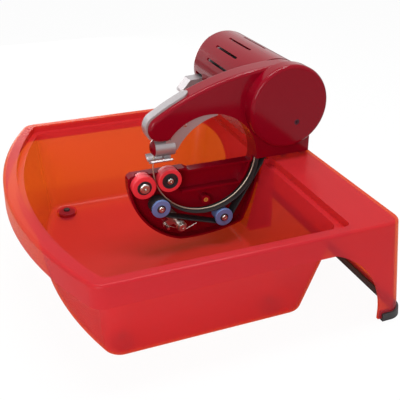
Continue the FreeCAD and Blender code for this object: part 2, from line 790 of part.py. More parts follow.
def blade_guide():
    near_wall = guide_sector(*guide_wall_radii, guide_half_width - guide_wall, guide_half_width)
    far_wall = guide_sector(*guide_wall_radii, -guide_half_width, guide_wall - guide_half_width)
    web = guide_sector(*guide_web_radii, -guide_half_width, guide_half_width)
    tube = rod_y(guide_tube_radius, guide_tube_front_y, guide_tube_rear_y, 0, guide_tube_z)
    foot = rod_y(guide_foot_radius, guide_foot_front_y, guide_foot_rear_y, 0, guide_tube_z)
    inner = guide_foot_radius - guide_foot_thickness
    foot = foot.cut(rod_y(inner, guide_foot_front_y - 1, guide_foot_rear_y + 1, 0, guide_tube_z))
    reach = 2 * guide_foot_radius
    lean = math.radians(guide_foot_half_angle)
    side = reach * math.sin(lean)
    deep = guide_tube_z - reach * math.cos(lean)
    apex = point(guide_foot_front_y - 1, guide_tube_z)
    left = point(guide_foot_front_y - 1, deep, -side)
    right = point(guide_foot_front_y - 1, deep, side)
    wedge = Part.Face(Part.makePolygon([apex, left, right, apex]))
    foot = foot.common(wedge.extrude(FreeCAD.Vector(0, guide_foot_length + 2, 0)))
    stalk_low = guide_tube_z - guide_foot_radius + guide_foot_thickness / 2
    stalk = box(-5.0, 5.0, guide_foot_rear_y - 9.0, guide_foot_rear_y, stalk_low, guide_tube_z)
    strut_edges = [
        line(point(guide_tube_rear_y - 3.0, guide_tube_z), point(guide_tube_rear_y + 3.5, guide_tube_z)),
        line(point(guide_tube_rear_y + 3.5, guide_tube_z), point(guide_foot_rear_y + 1.0, stalk_low)),
        line(point(guide_foot_rear_y + 1.0, stalk_low), point(guide_foot_rear_y - 4.0, stalk_low)),
        line(point(guide_foot_rear_y - 4.0, stalk_low), point(guide_tube_rear_y - 3.0, guide_tube_z)),
    ]
    strut = prism_x(face_of(strut_edges), -guide_half_width, -guide_half_width + 2 * guide_wall)
    body = fuse_all([near_wall, far_wall, web, tube, foot, stalk, strut])
    bore = rod_y(guide_tube_bore, guide_tube_front_y - 1, guide_tube_rear_y - 6.0, 0, guide_tube_z)
    slot_low = guide_tube_z - 25.0
    slot_high = guide_tube_z + 15.0
    wire_slot = box(-2.5, 2.5, guide_foot_front_y - 1, ring_y - 58.0, slot_low, slot_high)
    body = body.cut(bore).cut(wire_slot)
    screw_hole = rod_x(guide_screw_radius + press_clearance, 0, guide_half_width + 1, *guide_screw_place)
    chin_z = guide_tube_z + guide_tube_radius + 0.5
    above_chin = box(-20, 20, nose_y - 30, guide_foot_rear_y - 1.0, chin_z, chin_z + 100)
    return body.cut(screw_hole).cut(above_chin)


guide_screw_place = on_ring(throat_radius - guide_screw_inset, guide_screw_angle)


def guide_screw():
    head = rod_x(2.6, guide_half_width, guide_half_width + 1.8, *guide_screw_place)
    head = head.makeFillet(0.8, [e for e in head.Edges if e.BoundBox.XMin > guide_half_width + 1.7])
    return head.fuse(rod_x(guide_screw_radius, guide_half_width - 5.0, guide_half_width, *guide_screw_place))


def guide_cap():
    """Domed cap pressed into the front of the guide tube."""
    seat_y = guide_tube_front_y
    plug = rod_y(guide_tube_bore - press_clearance, seat_y, seat_y + 1.5, 0, guide_tube_z)
    rim_radius = guide_tube_radius - 1.0
    ball_radius = (rim_radius**2 + cap_dome**2) / (2 * cap_dome)
    ball = Part.makeSphere(ball_radius, point(seat_y - cap_dome + ball_radius, guide_tube_z))
    reach = 2 * ball_radius
    cut = box(-reach, reach, seat_y, seat_y + 2 * reach, guide_tube_z - reach, guide_tube_z + reach)
    centre = point(ring_y, ring_height)
    wire_way = Part.makeTorus(ring_radius, wire_radius + wire_way_gap, centre, FreeCAD.Vector(1, 0, 0))
    return fuse_all([ball.cut(cut), plug]).cut(wire_way)


# Ring, rollers, belt and pulley


def ring_blade():
    return Part.makeTorus(ring_radius, wire_radius, point(ring_y, ring_height), FreeCAD.Vector(1, 0, 0))


def pinch_tyre(place, hub_radius):
    y, z = place
    body = rod_x(pinch_tyre_radius, -pinch_half_width, pinch_half_width, y, z)
    rims = [e for e in body.Edges if e.BoundBox.XLength < 0.01]
    body = body.makeFillet(1.2, rims)
    return body.cut(rod_x(hub_radius + press_clearance, -pinch_half_width - 1, pinch_half_width + 1, y, z))


def pinch_hub(place, hub_radius, recess_depth):
    """Hub between boss and screw head, dished on the near face."""
    y, z = place
    body = rod_x(hub_radius, roller_back_x, pinch_half_width, y, z)
    dish = rod_x(hub_radius - 1.5, pinch_half_width - recess_depth, pinch_half_width + 1, y, z)
    seat = rod_x(pin_head_radius, pinch_half_width - recess_depth - 1, pinch_half_width, y, z)
    body = body.cut(dish).fuse(seat)
    return body.cut(rod_x(roller_pin_radius + pin_clearance, roller_back_x - 1, pinch_half_width + 1, y, z))


def belt_tyre(place):
    """Drum that carries the belt, with a wider rim on the near side."""
    y, z = place
    drum = rod_x(belt_drum_radius, roller_back_x, belt_roller_front_x, y, z)
    rim = rod_x(belt_flange_radius, belt_half_width + running_gap, belt_roller_front_x, y, z)
    rim = rim.makeFillet(1.0, [e for e in rim.Edges if e.BoundBox.XLength < 0.01])
    body = drum.fuse(rim)
    bore = rod_x(belt_hub_radius + press_clearance, roller_back_x - 1, belt_roller_front_x + 1, y, z)
    return body.cut(bore)


def belt_hub(place):
    y, z = place
    return tube_x(
        belt_hub_radius, roller_pin_radius + pin_clearance, roller_back_x, belt_roller_front_x, y, z
    )


def roller_axle(place, far_x, near_x, head_radius, head_height):
    """Pin with a domed and slotted head that keeps the roller on."""
    y, z = place
    head_x = near_x + running_gap
    pin = rod_x(roller_pin_radius, far_x, head_x, y, z)
    head = rod_x(head_radius, head_x, head_x + head_height, y, z)
    crown = [e for e in head.Edges if e.BoundBox.XMin > head_x + head_height - 0.01]
    head = head.makeFillet(min(head_radius, head_height) * 0.6, crown)
    socket = rod_x(1.4, head_x + head_height * 0.4, head_x + head_height + 1, y, z)
    return pin.fuse(head).cut(socket)


def belt_loop(offset):
    """Closed belt line, moved outward from the loop's inside by the offset."""
    ring = (ring_y, ring_height)
    pulley = (motor_y, motor_height)
    ring_r = belt_line_radius - offset
    roller_r = belt_roller_pitch + offset
    pulley_r = pulley_pitch_radius + offset
    reach = math.hypot(motor_y - ring_y, motor_height - ring_height)
    tilt = math.degrees(math.atan2(motor_height - ring_height, motor_y - ring_y))
    cross = math.degrees(math.acos((belt_line_radius + pulley_pitch_radius) / reach))
    ring_start = tilt - cross
    pulley_end = ring_start + 180
    ring_end = front_belt_angle - 360
    run = math.degrees(
        math.atan2(rear_belt_roller[1] - front_belt_roller[1], rear_belt_roller[0] - front_belt_roller[0])
    )
    under = run - 90
    rise_y = motor_y - rear_belt_roller[0]
    rise_z = motor_height - rear_belt_roller[1]
    lean = math.degrees(math.asin((pulley_pitch_radius - belt_roller_pitch) / math.hypot(rise_y, rise_z)))
    back = math.degrees(math.atan2(rise_z, rise_y)) - 90 - lean
    front_start = front_belt_angle - 180
    edges = []

    def turn(centre, radius, first, last):
        spots = [polar(*centre, radius, a) for a in (first, (first + last) / 2, last)]
        edges.append(arc(*spots))
        return spots[0], spots[2]

    on_ring_ends = turn(ring, ring_r, ring_start, ring_end)
    front_ends = turn(front_belt_roller, roller_r, front_start, under + 360)
    rear_ends = turn(rear_belt_roller, roller_r, under, back)
    pulley_ends = turn(pulley, pulley_r, back, pulley_end)
    edges.append(line(front_ends[1], rear_ends[0]))
    edges.append(line(rear_ends[1], pulley_ends[0]))
    edges.append(line(pulley_ends[1], on_ring_ends[0]))
    return edges


def drive_belt():
    sides = (belt_thickness / 2, -belt_thickness / 2)
    wires = [Part.Wire(Part.__sortEdges__(belt_loop(side))) for side in sides]
    band = Part.makeFace(wires, "Part::FaceMakerBullseye")
    return prism_x(band, -belt_half_width, belt_half_width)


def drive_pulley():
    core_radius = pulley_pitch_radius - belt_thickness / 2 - running_gap
    edge_x = belt_half_width + running_gap
    flange_radius = pulley_pitch_radius + belt_thickness / 2 + 1.0
    core = rod_x(core_radius, -edge_x, edge_x, motor_y, motor_height)
    far = rod_x(flange_radius, -edge_x - pulley_flange, -edge_x, motor_y, motor_height)
    near = rod_x(flange_radius, edge_x, edge_x + pulley_flange, motor_y, motor_height)
    body = fuse_all([core, far, near])
    return body.cut(rod_x(shaft_radius + press_clearance, -20, 20, motor_y, motor_height))


# Belt tensioner


def tension_arm():
    pivot_y, pivot_z = tension_pivot
    end_y, end_z = front_belt_roller
    along = FreeCAD.Vector(0, end_y - pivot_y, end_z - pivot_z)
    length = along.Length
    across = FreeCAD.Vector(0, -along.z, along.y).normalize() * (tension_sleeve_radius + 1.5)
    pivot = point(pivot_y, pivot_z)
    end = point(end_y, end_z)
    reach = along.normalize() * (tension_sleeve_radius + 1.5)
    edges = [
        line(pivot + across, end + across),
        arc(end + across, end + reach, end - across),
        line(end - across, pivot - across),
        arc(pivot - across, pivot - reach, pivot + across),
    ]
    plate = prism_x(face_of(edges), tension_plate_far_x, tension_plate_near_x)
    sleeve = rod_x(tension_sleeve_radius, tension_plate_far_x, tension_sleeve_near_x, *tension_pivot)
    spacer = rod_x(roller_pin_radius + 2.0, tension_plate_near_x, boss_front_x, *front_belt_roller)
    peg_y, peg_z = spring_peg(spring_first_angle, -spring_peg_reach, running_gap)
    peg = rod_x(spring_peg_radius, tension_plate_far_x, spring_far_x + 2.0, peg_y, peg_z)
    lug_edges = [
        line(point(peg_y - 3.5, peg_z - 3.0), point(pivot_y, pivot_z - 4.0)),
        line(point(pivot_y, pivot_z - 4.0), point(pivot_y - 4.0, pivot_z + 8.0)),
        line(point(pivot_y - 4.0, pivot_z + 8.0), point(peg_y - 3.5, peg_z + 3.0)),
        line(point(peg_y - 3.5, peg_z + 3.0), point(peg_y - 3.5, peg_z - 3.0)),
    ]
    lug = prism_x(face_of(lug_edges), tension_plate_far_x, tension_plate_near_x)
    body = fuse_all([plate, sleeve, spacer, lug, peg])
    body = body.cut(rod_x(tension_pin_radius + pin_clearance, -20, 20, *tension_pivot))
    print("tension arm length", round(length, 2))
    return body.cut(rod_x(roller_pin_radius + press_clearance, -20, 20, *front_belt_roller))


def tension_pin():
    head_x = tension_sleeve_near_x + running_gap
    pin = rod_x(tension_pin_radius, -far_depth, head_x, *tension_pivot)
    head = rod_x(tension_sleeve_radius - 0.4, head_x, head_x + 1.6, *tension_pivot)
    crown = [e for e in head.Edges if e.BoundBox.XMin > head_x + 1.5]
    head = head.makeFillet(0.7, crown)
    return pin.fuse(head).cut(rod_x(1.6, head_x + 0.6, head_x + 2, *tension_pivot))


def helix_point(angle):
    y, z = tension_pivot
    share = (angle - spring_first_angle) / 360.0
    x = spring_far_x + spring_pitch * share
    spot = polar(y, z, spring_coil_radius, angle)
    return point(spot.y, spot.z, x)


def helix_direction(angle):
    turn = math.radians(angle)
    sweep = 2 * math.pi * spring_coil_radius
    return FreeCAD.Vector(spring_pitch, -sweep * math.sin(turn), sweep * math.cos(turn)).normalize()


def tangent_arc(start, corner, end):
    """Arc that touches both lines of a corner with equal arms."""
    middle = (start + end) * 0.5
    half = start.distanceToPoint(end) / 2
    rise = corner.sub(middle)
    turn = math.atan2(rise.Length, half)
    return arc(start, middle + rise.normalize() * (half * math.tan(turn / 2)), end)


def biarc(start, first, end, last):
    """Two arcs that leave start along first and reach end along last."""
    gap = end.sub(start)
    both = first + last
    spread = 2 * (1 - first.dot(last))
    drive = gap.dot(both)
    arm = (-drive + math.sqrt(drive**2 + spread * gap.dot(gap))) / spread
    joint = (start + end + (first - last) * arm) * 0.5
    return [
        tangent_arc(start, start + first * arm, joint),
        tangent_arc(joint, end - last * arm, end),
    ]


def torsion_spring():
    spans = 4 * spring_turns + 1
    step = (spring_last_angle - spring_first_angle) / spans
    angles = [spring_first_angle + step * i for i in range(spans + 1)]
    lead = spring_leg_point(spring_first_angle, -spring_leg)
    tail = spring_leg_point(spring_last_angle, spring_leg)
    edges = [line(lead, helix_point(angles[0]))]
    for low, high in zip(angles, angles[1:]):
        edges += biarc(helix_point(low), helix_direction(low), helix_point(high), helix_direction(high))
    edges.append(line(helix_point(angles[-1]), tail))
    path = Part.Wire(edges)
    section = Part.Wire(Part.Circle(lead, helix_direction(angles[0]), spring_wire_radius).toShape())
    spring = path.makePipeShell([section], True, False)
    spots = [helix_point(spring_first_angle + 7.5 * i) for i in range(48 * spring_turns + 1)]
    gaps = [a.distanceToPoint(b) for i, a in enumerate(spots) for b in spots[i + 24 :]]
    print("torsion spring least gap", round(min(gaps) - 2 * spring_wire_radius, 2))
    return spring


def brass_insert():
    low_x = -jaw_near_depth - insert_depth
    body = rod_x(insert_radius, low_x, -jaw_near_depth, *insert_place)
    return body.cut(rod_x(insert_bore_radius, low_x + 1.0, 0, *insert_place))


# Motor in its housing
switch_pivot = (motor_y - switch_pivot_reach, motor_height - switch_pivot_drop)
switch_opening_low = motor_height - switch_opening_drop
switch_opening_high = switch_opening_low + switch_opening_height
end_screw_ring = motor_inner_radius - end_screw_inset


def spun(shape, degrees):
    turned = shape.copy()
    turned.rotate(point(motor_y, motor_height), FreeCAD.Vector(1, 0, 0), degrees)
    return turned


def end_screw_places():
    spots = [polar(motor_y, motor_height, end_screw_ring, a) for a in end_screw_angles]
    return [(spot.y, spot.z) for spot in spots]


def motor_housing():
    body = tube_x(boss_radius, motor_inner_radius, motor_far_x, -far_depth, motor_y, motor_height)
    rib_low = motor_y + stator_radius
    rib_high = motor_y + motor_inner_radius + motor_wall / 2
    rib = box(stator_far_x, stator_near_x, rib_low, rib_high, motor_height - 2, motor_height + 2)
    rib = rib.cut(rod_x(stator_radius + press_clearance, -200, 0, motor_y, motor_height))
    bosses = []
    for y, z in end_screw_places():
        boss = rod_x(end_screw_boss, motor_far_x, motor_far_x + end_screw_depth, y, z)
        bosses.append(boss.common(rod_x(boss_radius - 1, motor_far_x, 0, motor_y, motor_height)))
    body = body.multiFuse([spun(rib, a) for a in (45, 135, 225, 315)] + bosses)
    slot = box(slot_far_x, slot_near_x, motor_y + stator_radius + 2, motor_y + boss_radius + 2, 0, slot_width)
    ends = [e for e in slot.Edges if e.BoundBox.YLength > 5]
    slot = slot.makeFillet(slot_width * 0.45, ends)
    slot.translate(FreeCAD.Vector(0, 0, motor_height - slot_width / 2))
    cuts = [spun(slot, slot_first_angle + i * slot_step_angle) for i in range(slot_count)]
    opening_far_x = switch_near_x - switch_width - switch_side_gap
    opening_near_x = switch_near_x + switch_side_gap
    front_y = motor_y - boss_radius - 2
    cuts.append(
        box(opening_far_x, opening_near_x, front_y, motor_y - 30, switch_opening_low, switch_opening_high)
    )
    for y, z in end_screw_places():
        depth_x = motor_far_x + end_screw_depth - 2
        cuts.append(rod_x(end_screw_radius + press_clearance, motor_far_x - 1, depth_x, y, z))
    return body.cut(Part.makeCompound(cuts))


def motor_end_cap():
    end_x = motor_far_x - end_cap_depth
    body = rod_x(boss_radius, end_x, motor_far_x, motor_y, motor_height)
    rim = [e for e in body.Edges if abs(e.BoundBox.XMax - end_x) < 0.01]
    body = body.makeFillet(end_cap_edge_radius, rim)
    hollow_radius = boss_radius - end_cap_edge_radius
    body = body.cut(rod_x(hollow_radius, end_x + motor_wall, 0, motor_y, motor_height))
    for y, z in end_screw_places():
        body = body.fuse(rod_x(end_screw_boss, end_x + motor_wall / 2, motor_far_x, y, z))
    for y, z in end_screw_places():
        body = body.cut(rod_x(end_screw_radius + pin_clearance, end_x - 1, 0, y, z))
        body = body.cut(rod_x(cover_screw_head + pin_clearance, end_x - 1, end_x + 2.0, y, z))
    return body.cut(inlet_box(0, end_x - 1, end_x + motor_wall + 1))


def end_cap_screws():
    end_x = motor_far_x - end_cap_depth
    screws = []
    for y, z in end_screw_places():
        head = rod_x(cover_screw_head, end_x + 0.2, end_x + 2.0, y, z)
        shank = rod_x(end_screw_radius, end_x + 2.0, motor_far_x + end_screw_depth - 4.0, y, z)
        socket = rod_x(1.2, end_x - 1, end_x + 1.2, y, z)
        screws.append(head.fuse(shank).cut(socket))
    return Part.makeCompound(screws)


inlet_place = (motor_y, motor_height - inlet_drop)


def inlet_box(inset, x_low, x_high):
    """Block of the inlet's outline, drawn in by the inset."""
    y, z = inlet_place
    half_y = inlet_half_width - inset
    half_z = inlet_half_height - inset
    return box(x_low, x_high, y - half_y, y + half_y, z - half_z, z + half_z)


def power_inlet():
    """Socket for a loose lead, set in the end cap, with three blades."""
    y, z = inlet_place
    end_x = motor_far_x - end_cap_depth
    near_x = end_x + inlet_depth
    body = inlet_box(press_clearance, end_x, near_x)
    body = body.cut(inlet_box(inlet_wall, end_x - 1, near_x - inlet_wall))
    blades = []
    for step, lift in ((-4.5, -1.0), (0.0, 1.5), (4.5, -1.0)):
        blade_y = y + step
        blade_z = z + lift
        blade = box(end_x + 1.5, near_x, blade_y - 0.6, blade_y + 0.6, blade_z - 1.6, blade_z + 1.6)
        blades.append(blade)
    return body.multiFuse(blades)


def motor_bell(near_x):
    """Vented disc that carries a bearing."""
    far_x = near_x - bell_thickness
    body = rod_x(motor_inner_radius - press_clearance, far_x, near_x, motor_y, motor_height)
    cuts = [rod_x(bearing_radius + press_clearance, far_x - 1, near_x + 1, motor_y, motor_height)]
    for turn in range(6):
        spot = polar(motor_y, motor_height, bell_vent_ring, 60 * turn + 15)
        cuts.append(rod_x(bell_vent_radius, far_x - 1, near_x + 1, spot.y, spot.z))
    return body.cut(Part.makeCompound(cuts))


def motor_bearing(near_x):
    far_x = near_x - bell_thickness
    body = tube_x(bearing_radius, shaft_radius + pin_clearance, far_x, near_x, motor_y, motor_height)
    groove = tube_x(bearing_radius - 2.2, shaft_radius + 2.2, near_x - 0.8, near_x + 1, motor_y, motor_height)
    return body.cut(groove)


def motor_stator():
    body = tube_x(stator_radius, stator_bore_radius, stator_far_x, stator_near_x, motor_y, motor_height)
    pockets = []
    pocket = box(stator_far_x - 1, stator_near_x + 1, motor_y + 25.0, motor_y + 32.0, 0, 6.0)
    pocket.translate(FreeCAD.Vector(0, 0, motor_height - 3.0))
    for turn in range(12):
        pockets.append(spun(pocket, 30 * turn))
    return body.cut(Part.makeCompound(pockets))


def rotor_core():
    body = rod_x(rotor_radius, stator_far_x, stator_near_x, motor_y, motor_height)
    return body.cut(rod_x(shaft_radius + press_clearance, -200, 0, motor_y, motor_height))


def motor_shaft():
    far_x = rear_bell_x - bell_thickness - 3.0
    near_x = belt_half_width + running_gap + pulley_flange + nut_height + 1.5
    return rod_x(shaft_radius, far_x, near_x, motor_y, motor_height)


def pulley_nut():
    """Hexagon nut that holds the pulley on the shaft."""
    near_x = belt_half_width + running_gap + pulley_flange
    corners = [polar(motor_y, motor_height, nut_radius, 60 * turn) for turn in range(7)]
    body = prism_x(Part.Face(Part.makePolygon(corners)), near_x, near_x + nut_height)
    return body.cut(rod_x(shaft_radius + press_clearance, 0, 40, motor_y, motor_height))


# Switch

paddle_tip = (motor_y - paddle_tip_reach, motor_height - paddle_tip_drop)


def switch_paddle():
    """Wedge-shaped lever: a root round the pin and a rounded tip in front of the housing."""
    y, z = switch_pivot
    top = point(motor_y - 69.0, motor_height - 9.5)
    heel = point(motor_y - 53.0, motor_height - 8.5)
    root_high = point(y, z + switch_boss_radius)
    root_far = point(y + switch_boss_radius, z)
    root_low = point(y, z - switch_boss_radius)
    neck = point(motor_y - 52.5, motor_height - 22.0)
    tip_y, tip_z = paddle_tip
    tip_top = polar(tip_y, tip_z, paddle_tip_radius, 148)
    tip_front = polar(tip_y, tip_z, paddle_tip_radius, 215)
    tip_low = polar(tip_y, tip_z, paddle_tip_radius, 282)
    edges = [
        line(root_high, heel),
        line(heel, top),
        line(top, tip_top),
        arc(tip_top, tip_front, tip_low),
        line(tip_low, neck),
        line(neck, root_low),
        arc(root_low, root_far, root_high),
    ]
    body = prism_x(face_of(edges), switch_near_x - switch_width, switch_near_x)
    sharp = [e for e in body.Edges if e.BoundBox.XLength > 5 and e.BoundBox.YMax < motor_y - 60]
    body = body.makeFillet(2.0, sharp)
    return body.cut(rod_x(switch_pin_radius + pin_clearance, -200, 0, y, z))


def switch_body():
    """Block behind the paddle with two ears that hold its pin."""
    y, z = switch_pivot
    far_x = switch_near_x - switch_width
    side = running_gap
    ear_y = y + switch_boss_radius + 1.5
    low = z - switch_boss_radius
    high = z + switch_boss_radius
    outer_far_x = far_x - side - switch_ear_thickness
    outer_near_x = switch_near_x + side + switch_ear_thickness
    block = box(outer_far_x, outer_near_x, ear_y, ear_y + 11.0, low - 3, high + 3)
    ears = []
    for x in (outer_far_x, switch_near_x + side):
        ears.append(box(x, x + switch_ear_thickness, y - 3.2, ear_y, low + 1, high - 1))
    body = fuse_all([block] + ears)
    return body.cut(rod_x(switch_pin_radius + press_clearance, -200, 0, y, z))


def switch_pin():
    side = running_gap + switch_ear_thickness
    return rod_x(switch_pin_radius, switch_near_x - switch_width - side, switch_near_x + side, *switch_pivot)


os.makedirs("parts", exist_ok=True)
tray_shape = tray()
save("tray", tray_shape)
save("tray_feet", tray_feet())
save("end_foot_strip", end_foot_strip(tray_shape))
save("head_frame", head_frame())
save("arm_cover", arm_cover())
save("pulley_cover", pulley_cover())
save("pulley_cover_screw", pulley_cover_screw())
save("cover_screws", cover_screws())
save("pedestal_screws", pedestal_screws())
save("nose_guard", nose_guard())
save("blade_guide", blade_guide())
save("guide_screw", guide_screw())
save("guide_cap", guide_cap())
save("ring_blade", ring_blade())
save("front_pinch_tyre", pinch_tyre(front_pinch_roller, front_pinch_hub_radius))
save("front_pinch_hub", pinch_hub(front_pinch_roller, front_pinch_hub_radius, 1.5))
save("rear_pinch_tyre", pinch_tyre(rear_pinch_roller, rear_pinch_hub_radius))
save("rear_pinch_hub", pinch_hub(rear_pinch_roller, rear_pinch_hub_radius, 3.0))
save("front_belt_tyre", belt_tyre(front_belt_roller))
save("front_belt_hub", belt_hub(front_belt_roller))
save("rear_belt_tyre", belt_tyre(rear_belt_roller))
save("rear_belt_hub", belt_hub(rear_belt_roller))
save("front_pinch_axle", roller_axle(front_pinch_roller, -far_depth, pinch_half_width, 7.0, 3.6))
save("rear_pinch_axle", roller_axle(rear_pinch_roller, -far_depth, pinch_half_width, 4.2, pin_head_height))
save("rear_belt_axle", roller_axle(rear_belt_roller, -far_depth, belt_roller_front_x, 4.2, pin_head_height))
front_axle = roller_axle(front_belt_roller, tension_plate_far_x, belt_roller_front_x, 4.2, pin_head_height)
save("front_belt_axle", front_axle)
save("drive_belt", drive_belt())
save("drive_pulley", drive_pulley())
save("tension_arm", tension_arm())
save("tension_pin", tension_pin())
save("torsion_spring", torsion_spring())
save("brass_insert", brass_insert())
save("motor_housing", motor_housing())
save("motor_end_cap", motor_end_cap())
save("end_cap_screws", end_cap_screws())
save("power_inlet", power_inlet())
save("front_bell", motor_bell(front_bell_x))
save("rear_bell", motor_bell(rear_bell_x))
save("front_bearing", motor_bearing(front_bell_x))
save("rear_bearing", motor_bearing(rear_bell_x))
save("motor_stator", motor_stator())
save("rotor_core", rotor_core())
save("motor_shaft", motor_shaft())
save("pulley_nut", pulley_nut())
save("switch_paddle", switch_paddle())
save("switch_body", switch_body())
save("switch_pin", switch_pin())
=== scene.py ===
# %% [markdown]
# Wet ring saw in its water tray. The machine itself comes from CAD as a fixed frame of named
# nodes. Blender gives every node its finish, models the pieces whose look needs soft edges,
# and sets light and camera. The frame is loaded first, so that every later step can measure it.

import math

import bmesh
import bpy
from mathutils import Matrix, Vector


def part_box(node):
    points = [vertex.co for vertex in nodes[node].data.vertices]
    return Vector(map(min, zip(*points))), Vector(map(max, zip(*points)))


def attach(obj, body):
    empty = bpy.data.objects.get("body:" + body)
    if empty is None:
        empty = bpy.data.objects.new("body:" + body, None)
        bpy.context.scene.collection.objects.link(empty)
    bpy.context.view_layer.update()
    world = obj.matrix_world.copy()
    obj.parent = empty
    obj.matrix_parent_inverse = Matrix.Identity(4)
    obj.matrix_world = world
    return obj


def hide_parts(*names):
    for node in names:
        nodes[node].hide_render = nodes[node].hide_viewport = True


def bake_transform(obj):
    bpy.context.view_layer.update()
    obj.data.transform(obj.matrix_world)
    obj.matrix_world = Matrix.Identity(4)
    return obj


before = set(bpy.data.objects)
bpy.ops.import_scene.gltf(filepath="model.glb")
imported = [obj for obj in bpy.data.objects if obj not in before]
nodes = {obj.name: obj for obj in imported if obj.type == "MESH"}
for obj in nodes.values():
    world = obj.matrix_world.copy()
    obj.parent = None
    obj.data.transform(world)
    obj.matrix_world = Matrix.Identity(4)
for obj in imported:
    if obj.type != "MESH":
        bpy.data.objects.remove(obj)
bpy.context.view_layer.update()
bpy.ops.object.select_all(action="DESELECT")

# %% [markdown]
# Colours are written as the hex values that a designer would read off the plastic. Blender's
# shaders work in linear light, so one function converts them. A second small function adds a
# shader node with its settings and its links, which keeps every material below short. Sizes of
# patterns are given in millimetres, and a third function turns them into a texture's scale.


# %% Colour and node helpers
def linear(hex_code):
    parts = [int(hex_code[i : i + 2], 16) / 255 for i in (1, 3, 5)]
    return [c / 12.92 if c <= 0.04045 else ((c + 0.055) / 1.055) ** 2.4 for c in parts] + [1.0]


def add_node(tree, kind, settings=None, sockets=None, links=None):
    node = tree.nodes.new(kind)
    for name, value in (settings or {}).items():
        setattr(node, name, value)
    for name, value in (sockets or {}).items():
        node.inputs[name].default_value = value
    for name, source in (links or {}).items():
        tree.links.new(source, node.inputs[name])
    return node


def new_finish(name, hex_code, roughness, metallic=0.0, ior=1.5):
    material = bpy.data.materials.new(name)
    material.use_nodes = True
    shader = material.node_tree.nodes["Principled BSDF"]
    shader.inputs["Base Color"].default_value = linear(hex_code)
    shader.inputs["Roughness"].default_value = roughness
    shader.inputs["Metallic"].default_value = metallic
    shader.inputs["IOR"].default_value = ior
    print("finish", name)
    return material, material.node_tree, shader


def per_metre(millimetres):
    return 1000.0 / millimetres


print("middle grey in linear light", round(linear("#808080")[0], 3))


# %% [markdown]
# The tray is polypropylene, injection moulded and left translucent. A tool surface of spark
# erosion makes it satin. Real volume scattering would be slow and noisy in so thin a wall, so
# a reflecting shader is mixed with a little of a translucent one, and more than half of the
# result is clear amber. A backlit wall then turns orange, as thin red plastic does.

# %% Translucent red polypropylene
tray_plastic, tree, shader = new_finish(
    "moulded translucent polypropylene", "#D23848", 0.26, ior=1.49
)
shader.inputs["Specular IOR Level"].default_value = 0.3
place = add_node(tree, "ShaderNodeTexCoord")
# A spark grain of about 0.1 mm is too fine to show, so it is drawn near 1 mm.
spark = add_node(
    tree,
    "ShaderNodeTexNoise",
    sockets={"Scale": per_metre(1.2), "Detail": 3.0},
    links={"Vector": place.outputs["Object"]},
)
bump_depth = 0.0002
grain = add_node(
    tree,
    "ShaderNodeBump",
    sockets={"Strength": 0.10, "Distance": bump_depth},
    links={"Height": spark.outputs["Fac"]},
)
tree.links.new(grain.outputs["Normal"], shader.inputs["Normal"])
glow = add_node(
    tree,
    "ShaderNodeBsdfTranslucent",
    sockets={"Color": linear("#D8582C")},
    links={"Normal": grain.outputs["Normal"]},
)
clear = add_node(tree, "ShaderNodeBsdfTransparent", sockets={"Color": linear("#F2A83A")})
glow_share = 0.25
clear_share = 0.58
body_mix = add_node(tree, "ShaderNodeMixShader", sockets={0: glow_share})
tree.links.new(shader.outputs[0], body_mix.inputs[1])
tree.links.new(glow.outputs[0], body_mix.inputs[2])
clear_mix = add_node(tree, "ShaderNodeMixShader", sockets={0: clear_share})
tree.links.new(body_mix.outputs[0], clear_mix.inputs[1])
tree.links.new(clear.outputs[0], clear_mix.inputs[2])
tree.links.new(clear_mix.outputs[0], tree.nodes["Material Output"].inputs["Surface"])

# %% [markdown]
# The saw head and its covers are ABS, moulded in a polished tool, so they show clear soft
# highlights over a dark crimson. A slow noise in the roughness breaks the highlight a little,
# because a moulded shell is never perfectly even.

# %% Glossy crimson ABS
head_plastic, tree, shader = new_finish("polished moulded ABS crimson", "#780316", 0.12, ior=1.52)
shader.inputs["Specular IOR Level"].default_value = 0.12
place = add_node(tree, "ShaderNodeTexCoord")
drift = add_node(
    tree,
    "ShaderNodeTexNoise",
    sockets={"Scale": per_metre(18.0), "Detail": 2.0},
    links={"Vector": place.outputs["Object"]},
)
band = add_node(
    tree,
    "ShaderNodeMapRange",
    sockets={"To Min": 0.09, "To Max": 0.15},
    links={"Value": drift.outputs["Fac"]},
)
tree.links.new(band.outputs["Result"], shader.inputs["Roughness"])

# %% [markdown]
# Nose guard, blade guide and switch are nylon with a coat of silver paint. Aluminium flakes
# in the paint make it half a metal. The surface is satin with a fine tooth, so roughness stays
# middling and a faint bump catches the light.

# %% Silver painted nylon
grey_nylon, tree, shader = new_finish("silver painted nylon", "#A29C9E", 0.36, metallic=0.6)
place = add_node(tree, "ShaderNodeTexCoord")
tooth = add_node(
    tree,
    "ShaderNodeTexNoise",
    sockets={"Scale": per_metre(0.9), "Detail": 2.0},
    links={"Vector": place.outputs["Object"]},
)
tooth_bump = add_node(
    tree,
    "ShaderNodeBump",
    sockets={"Strength": 0.12, "Distance": bump_depth},
    links={"Height": tooth.outputs["Fac"]},
)
tree.links.new(tooth_bump.outputs["Normal"], shader.inputs["Normal"])

# %% [markdown]
# The pinch rollers carry red urethane tyres and the belt rollers slate blue ones. Cast urethane
# is smooth with a waxy sheen. The black belt, feet and strip are moulded rubber, which is
# duller and slightly mottled where it has been handled. The hubs are black nylon.

